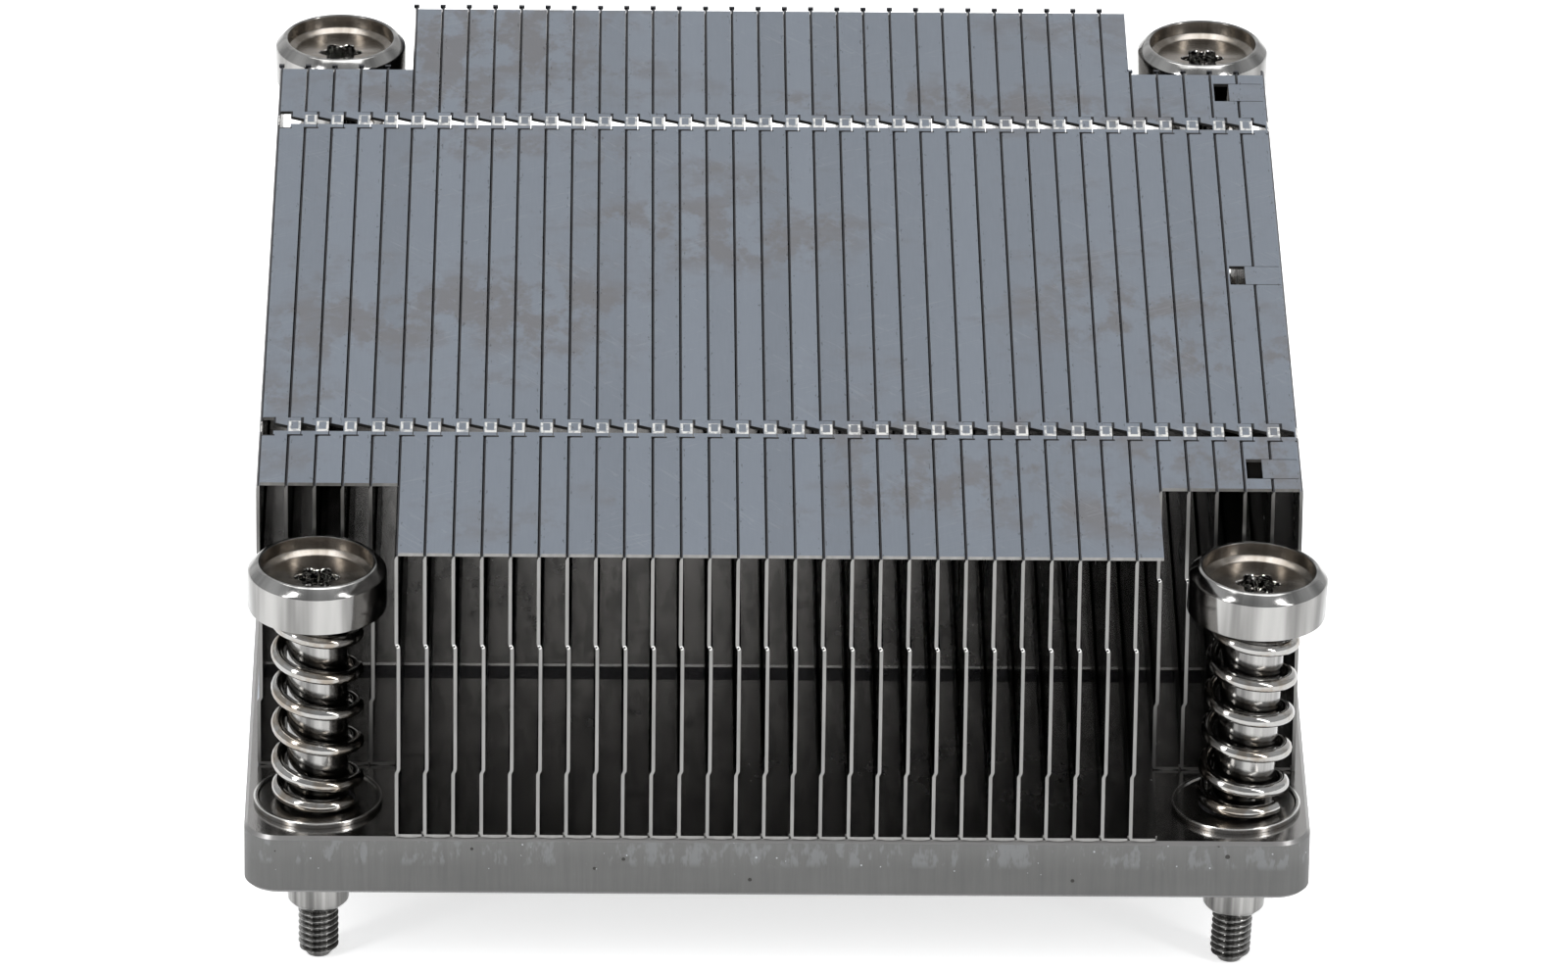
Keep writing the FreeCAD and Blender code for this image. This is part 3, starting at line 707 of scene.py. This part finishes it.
def build_washers(settings, material):
    """The four washers, each with a raised rim that keeps its spring centred."""
    hole, outer = settings.washer_hole / 2, settings.washer_diameter / 2
    rim, soft = settings.washer_rim, 0.03 * MM
    seat = settings.washer_thickness
    profile = [(hole, 0.0), (outer - soft, 0.0), (outer, soft), (outer, seat + rim - soft),
               (outer - soft, seat + rim), (outer - 2.5 * rim, seat + rim),
               (outer - 3.5 * rim, seat), (hole + soft, seat), (hole, seat - soft)]
    for corner in CORNERS:
        node = "washer_" + corner
        x, y, _z = middle_of(node)
        mesh = lathe(node + "_turned", profile, WASHER_SEGMENTS, hollow=True)
        mesh.transform(Matrix.Translation((x, y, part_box(node)[0][2])))
        finished(node + "_nickel", mesh, material, "sink", node, slot="washer")


def start_tree(name, numbers, count):
    """New Geometry Nodes tree: its graph, and its named inputs as values."""
    tree = bpy.data.node_groups.new(name, "GeometryNodeTree")
    tree.interface.new_socket("Geometry", in_out="OUTPUT", socket_type="NodeSocketGeometry")
    for title in numbers:
        tree.interface.new_socket(title, in_out="INPUT", socket_type="NodeSocketFloat")
    tree.interface.new_socket(count, in_out="INPUT", socket_type="NodeSocketInt")
    g = Graph(tree)
    group = g.node("NodeGroupInput")
    return g, {title: Value(g, group.outputs[title]) for title in (*numbers, count)}


def end_tree(g, geometry, material):
    """Realize a tree's instances, give them their material and put them out."""
    real = g.value("GeometryNodeRealizeInstances", None, {"Geometry": geometry})
    painted = g.value("GeometryNodeSetMaterial", None, {"Geometry": real, "Material": material})
    g.node("NodeGroupOutput", None, {"Geometry": painted})
    return g.tree


def spring_tree(material):
    """Geometry Nodes tree of a closed-end coil that follows its screw's lean."""
    numbers = ("Foot X", "Foot Y", "Foot Z", "Length", "Coil Radius", "Wire Radius",
               "Active Turns", "Closed Turns", "Start", "Lean", "Pivot Z")
    g, size = start_tree("closed_end_spring", numbers, "Points")
    line = g.value("GeometryNodeCurvePrimitiveLine", None, {"End": (0, 0, 1)})
    path = g.value("GeometryNodeResampleCurve", None, {"Curve": line, "Count": size["Points"]})
    along = g.value("GeometryNodeSplineParameter", None, None, "Factor")
    closed, active = size["Closed Turns"], size["Active Turns"]
    turn = along * (active + closed * 2)
    closed_rise = size["Wire Radius"] * CLOSED_RISE
    rise = size["Length"] - size["Wire Radius"] * 2
    open_rise = (rise - closed_rise * closed * 2) / active
    height = closed_rise * turn.least(closed)
    height = height + open_rise * (turn - closed).most(0.0).least(active)
    height = height + closed_rise * (turn - closed - active).most(0.0)
    z = size["Foot Z"] + size["Wire Radius"] + height
    angle = size["Start"] - turn * (2 * math.pi)
    x = size["Foot X"] + size["Lean"] * (z - size["Pivot Z"]) + size["Coil Radius"] * angle.cos()
    y = size["Foot Y"] + size["Coil Radius"] * angle.sin()
    coil = g.value("GeometryNodeSetPosition", None,
                   {"Geometry": path, "Position": g.vector(x, y, z)})
    wire = g.value("GeometryNodeCurvePrimitiveCircle", None,
                   {"Resolution": 14, "Radius": size["Wire Radius"]})
    tube = g.value("GeometryNodeCurveToMesh", None,
                   {"Curve": coil, "Profile Curve": wire, "Fill Caps": True})
    return end_tree(g, g.value("GeometryNodeSetShadeSmooth", None, {"Geometry": tube}), material)


def grown(name, tree, values):
    """Evaluate a Geometry Nodes tree with named inputs and return a plain mesh."""
    seed = bpy.data.objects.new(name + "_seed", bpy.data.meshes.new(name + "_seed"))
    bpy.context.scene.collection.objects.link(seed)
    modifier = seed.modifiers.new(name, "NODES")
    modifier.node_group = tree
    for item in tree.interface.items_tree:
        if item.in_out == "INPUT" and item.name in values:
            modifier[item.identifier] = values[item.name]
    bpy.context.view_layer.update()
    result = seed.evaluated_get(bpy.context.evaluated_depsgraph_get())
    mesh = bpy.data.meshes.new_from_object(result)
    seed.modifiers.clear()
    bpy.data.objects.remove(seed)
    mesh.name = name
    return mesh


def build_springs(settings, material):
    """The four springs, each wound leaning along its own screw's axis."""
    tree = spring_tree(material)
    for corner in CORNERS:
        node = "spring_" + corner
        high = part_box(node)[1]
        press = JOINTS["press_" + corner]
        hinge = JOINTS["turn_" + corner]
        axis = Vector(press["axis"]).normalized()
        turns = settings.active_turns + 2 * settings.closed_turns
        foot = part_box("washer_" + corner)[0][2] + settings.seat
        values = {"Foot X": hinge["pos_m"][0], "Foot Y": hinge["pos_m"][1], "Foot Z": foot,
                  "Length": high[2] - foot, "Coil Radius": (settings.diameter - settings.wire) / 2,
                  "Wire Radius": settings.wire / 2, "Active Turns": settings.active_turns,
                  "Closed Turns": settings.closed_turns, "Start": settings.start,
                  "Lean": axis.x / axis.z,
                  "Pivot Z": hinge["pos_m"][2], "Points": round(turns * settings.points_per_turn)}
        mesh = grown(node + "_wire", tree, values)
        piece = finished(node + "_coil", mesh, material, "sink", node, slot="spring")
        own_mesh(piece)


def lip_tree(material):
    """Geometry Nodes tree of a row of short bars, one for each fin."""
    numbers = ("First X", "Front Y", "Middle Z", "Depth", "Width", "Height", "Pitch")
    g, size = start_tree("fin_lip_row", numbers, "Count")
    bar = g.value("GeometryNodeMeshCube", None,
                  {"Size": g.vector(size["Width"], size["Depth"], size["Height"]),
                   "Vertices X": 4, "Vertices Y": 2, "Vertices Z": 3})
    x, _y, z = g.split(g.value("GeometryNodeInputPosition"))
    middle = abs(x) < size["Width"] * BAR_MIDDLE
    lift = size["Height"] * BAR_LIFT * (1.0 - middle)
    shaped = g.value("GeometryNodeSetPosition", None,
                     {"Geometry": bar, "Offset": g.vector(0.0, 0.0, lift * (z < 0.0))})
    first = g.vector(size["First X"], size["Front Y"] + size["Depth"] / 2, size["Middle Z"])
    points = g.value("GeometryNodeMeshLine", None,
                     {"Count": size["Count"], "Start Location": first,
                      "Offset": g.vector(size["Pitch"], 0.0, 0.0)})
    row = g.value("GeometryNodeInstanceOnPoints", None, {"Points": points, "Instance": shaped})
    return end_tree(g, row, material)


def build_lips(settings, material):
    """Fronts of the bottom flanges and caps on the webs' rear ends, in three blocks of fins."""
    tree = lip_tree(material)
    fronts = [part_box(name)[0][1] for name in FINS]
    start = 0
    while start < len(FINS):
        stop = start
        while stop < len(FINS) and abs(fronts[stop] - fronts[start]) < 0.1 * MM:
            stop += 1
        width = FIN_PITCH - settings.sheet_thickness - settings.lip_gap
        values = {"First X": FIN_LEFT + start * FIN_PITCH + settings.sheet_thickness + width / 2,
                  "Front Y": fronts[start], "Depth": settings.web_overhang, "Width": width,
                  "Middle Z": FIN_BOTTOM + settings.sheet_thickness / 2,
                  "Height": settings.sheet_thickness, "Pitch": FIN_PITCH, "Count": stop - start}
        name = "fin_lips_from_%02d" % (start + 1)
        finished(name, grown(name, tree, values), material, "sink", slot="fin")
        depth = settings.rear_overhang / 3
        values.update({"First X": FIN_LEFT + start * FIN_PITCH + settings.sheet_thickness / 2,
                       "Front Y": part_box(FINS[start])[1][1] - depth, "Depth": depth,
                       "Width": settings.nub_width,
                       "Middle Z": FIN_TOP - settings.sheet_thickness / 2})
        name = "fin_nubs_from_%02d" % (start + 1)
        finished(name, grown(name, tree, values), material, "sink", slot="fin")
        start = stop


# ---------------------------------------------------------------- stage
LAMP_AIM = (0, 0, 0.01)
# Each lamp's name, place and size in metres, and power in watts
LAMPS = (("left_strip", (-0.6, -0.5, 0.5), (0.15, 0.8), 4.0),
         ("right_strip", (0.6, -0.5, 0.45), (0.12, 0.8), 3.3),
         ("top_panel", (0.0, 0.1, 0.9), (0.8, 0.6), 5.0))
WHITE = (1, 1, 1, 1)
FLOOR_WHITE = (0.9, 0.9, 0.9, 1)
FLOOR_GLOW = 0.6           # the floor's own light, as the camera sees it
FLOOR_MIRRORED = 0.35      # and as the metal mirrors it
FLOOR_BEND = 0.4           # the curve at the back, as a share of half the floor
FLOOR_STEPS = 12
WORLD_WHITE = (0.97, 0.985, 1.0, 1)
WORLD_LEVEL = 0.66
WORLD_FRONT_LOSS = 0.36    # darker on the camera's side
WORLD_TOP_LOSS = 0.1       # darker overhead
WORLD_MIRRORED = 0.45      # least that the metal mirrors


def white_surface(name):
    """Floor that shows white to the camera and in the metal, and keeps soft shadows."""
    material = bpy.data.materials.new(name)
    material.use_nodes = True
    material.node_tree.nodes.clear()
    g = Graph(material.node_tree)
    path = g.node("ShaderNodeLightPath")
    seen = Value(g, path.outputs["Is Glossy Ray"]).most(
        Value(g, path.outputs["Is Transmission Ray"])) * FLOOR_MIRRORED
    seen = seen + Value(g, path.outputs["Is Camera Ray"]) * FLOOR_GLOW
    matt = g.value("ShaderNodeBsdfDiffuse", None, {"Color": FLOOR_WHITE})
    glow = g.value("ShaderNodeEmission", None, {"Color": WHITE, "Strength": seen})
    both = g.value("ShaderNodeAddShader", None, {0: matt, 1: glow})
    g.node("ShaderNodeOutputMaterial", None, {"Surface": both})
    return material


def lay_floor(settings):
    """Floor under the screws' ends that curves up at the back."""
    low = min(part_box("screw_" + corner)[0][2] for corner in CORNERS)
    half = settings.floor_size / 2
    bend = half * FLOOR_BEND
    flat = half - bend
    rows = [(-half, 0.0), (flat, 0.0)]
    for step in range(1, FLOOR_STEPS + 1):
        angle = math.pi / 2 * step / FLOOR_STEPS
        rows.append((flat + bend * math.sin(angle), bend * (1 - math.cos(angle))))
    rows.append((half, half))
    verts = [(x, y, low + z) for y, z in rows for x in (-half, half)]
    faces = [(2 * i, 2 * i + 1, 2 * i + 3, 2 * i + 2) for i in range(len(rows) - 1)]
    mesh = bpy.data.meshes.new("studio_floor")
    mesh.from_pydata(verts, [], faces)
    mesh.materials.append(white_surface("studio_white"))
    floor = bpy.data.objects.new("studio_floor", mesh)
    bpy.context.scene.collection.objects.link(floor)


def hang_lamp(name, place, size, power):
    """A white area lamp that faces the part."""
    lamp = bpy.data.lights.new(name, "AREA")
    lamp.shape = "RECTANGLE"
    lamp.size, lamp.size_y = size
    lamp.energy = power
    holder = bpy.data.objects.new(name, lamp)
    holder.location = place
    holder.rotation_euler = (Vector(LAMP_AIM) - Vector(place)).to_track_quat("-Z", "Y").to_euler()
    bpy.context.scene.collection.objects.link(holder)


def light_world():
    """Pale studio all round, darker on the camera's side and overhead for contrast in metal."""
    world = bpy.data.worlds.new("studio_world")
    world.use_nodes = True
    world.node_tree.nodes.clear()
    g = Graph(world.node_tree)
    _x, y, z = g.split(g.value("ShaderNodeTexCoord", None, None, "Generated"))
    front = (y * -1.0).ramp(0.2, 0.9)
    level = WORLD_LEVEL - front * WORLD_FRONT_LOSS - z.ramp(0.6, 0.95) * WORLD_TOP_LOSS
    path = g.node("ShaderNodeLightPath")
    seen = Value(g, path.outputs["Is Glossy Ray"]).most(
        Value(g, path.outputs["Is Transmission Ray"])) * WORLD_MIRRORED
    strength = level.most(seen).most(Value(g, path.outputs["Is Camera Ray"]))
    background = g.value("ShaderNodeBackground", None,
                         {"Color": WORLD_WHITE, "Strength": strength})
    g.node("ShaderNodeOutputWorld", None, {"Surface": background})
    bpy.context.scene.world = world


def place_camera(settings):
    """Long lens on the part, from in front and above."""
    lens = bpy.data.cameras.new("product_camera")
    lens.lens = settings.lens
    lens.sensor_width = 36.0
    lens.clip_start = 0.01
    lens.clip_end = 50.0
    camera = bpy.data.objects.new("product_camera", lens)
    level = math.cos(settings.elevation)
    forward = Vector((-math.sin(settings.azimuth) * level, math.cos(settings.azimuth) * level,
                      -math.sin(settings.elevation)))
    aim = Vector((settings.aim_aside, 0.0, settings.aim_height))
    camera.location = aim - forward * settings.distance
    turn = forward.to_track_quat("-Z", "Y").to_matrix().to_4x4()
    camera.matrix_world = (Matrix.Translation(camera.location) @ turn
                           @ Matrix.Rotation(settings.roll, 4, "Z"))
    bpy.context.scene.collection.objects.link(camera)
    bpy.context.scene.camera = camera


# ---------------------------------------------------------------- operators
class HEATSINK_OT_fins(bpy.types.Operator):
    """Give the folded fins and the end plate their plated sheet"""
    bl_idname = "heatsink.fins"
    bl_label = "Finish fins"

    def execute(self, context):
        material = fin_finish(context.scene.heatsink_fins)
        for name in FINS + ["end_plate"]:
            frame["nodes"][name].data.materials[0] = material
        build_lips(context.scene.heatsink_fins, material)
        return {"FINISHED"}


class HEATSINK_OT_base(bpy.types.Operator):
    """Give the base plate its satin sides and polished top"""
    bl_idname = "heatsink.base"
    bl_label = "Finish base plate"

    def execute(self, context):
        material = plate_finish(context.scene.heatsink_plate)
        frame["nodes"]["base_plate"].data.materials[0] = material
        return {"FINISHED"}


class HEATSINK_OT_washers(bpy.types.Operator):
    """Finish the washers and the retaining rings"""
    bl_idname = "heatsink.washers"
    bl_label = "Finish washers and rings"

    def execute(self, context):
        plating = context.scene.heatsink_plate
        build_washers(plating, washer_finish(plating))
        ring = ring_finish(plating)
        for corner in CORNERS:
            frame["nodes"]["retaining_ring_" + corner].data.materials[0] = ring
        return {"FINISHED"}


class HEATSINK_OT_screws(bpy.types.Operator):
    """Turn the four captive screws, with threads and drive recesses"""
    bl_idname = "heatsink.screws"
    bl_label = "Build screws"

    def execute(self, context):
        build_screws(context.scene.heatsink_screws, context.scene.heatsink_plate)
        return {"FINISHED"}


class HEATSINK_OT_springs(bpy.types.Operator):
    """Wind the four closed-end springs"""
    bl_idname = "heatsink.springs"
    bl_label = "Build springs"

    def execute(self, context):
        wire = spring_finish(context.scene.heatsink_plate)
        build_springs(context.scene.heatsink_springs, wire)
        return {"FINISHED"}


class HEATSINK_OT_stage(bpy.types.Operator):
    """Set the floor, the lamps, the world and the camera"""
    bl_idname = "heatsink.stage"
    bl_label = "Set stage"

    def execute(self, context):
        settings = context.scene.heatsink_stage
        lay_floor(settings)
        light_world()
        for name, place, size, power in LAMPS:
            hang_lamp(name, place, size, power)
        place_camera(settings)
        context.scene.view_settings.view_transform = "Standard"
        return {"FINISHED"}


class HEATSINK_PT_panel(bpy.types.Panel):
    """Lists the steps in the sidebar"""
    bl_label = "Heat sink"
    bl_idname = "HEATSINK_PT_panel"
    bl_space_type = "VIEW_3D"
    bl_region_type = "UI"
    bl_category = "Heat sink"

    def draw(self, context):
        for step in STEPS:
            self.layout.operator(step.bl_idname)


SETTINGS = {"heatsink_screws": HeatsinkScrewSettings, "heatsink_springs": HeatsinkSpringSettings,
            "heatsink_fins": HeatsinkFinSettings, "heatsink_plate": HeatsinkPlateSettings,
            "heatsink_stage": HeatsinkStageSettings}
STEPS = (HEATSINK_OT_fins, HEATSINK_OT_base, HEATSINK_OT_washers, HEATSINK_OT_screws,
         HEATSINK_OT_springs, HEATSINK_OT_stage)


def register():
    for group in SETTINGS.values():
        bpy.utils.register_class(group)
    for name, group in SETTINGS.items():
        setattr(bpy.types.Scene, name, bpy.props.PointerProperty(type=group))
    for step in STEPS:
        bpy.utils.register_class(step)
    bpy.utils.register_class(HEATSINK_PT_panel)


def unregister():
    bpy.utils.unregister_class(HEATSINK_PT_panel)
    for step in reversed(STEPS):
        bpy.utils.unregister_class(step)
    for name, group in SETTINGS.items():
        delattr(bpy.types.Scene, name)
        bpy.utils.unregister_class(group)


def main():
    register()
    bpy.ops.heatsink.fins()
    bpy.ops.heatsink.base()
    bpy.ops.heatsink.washers()
    bpy.ops.heatsink.screws()
    bpy.ops.heatsink.springs()
    bpy.ops.heatsink.stage()


if __name__ == "__main__":
    main()
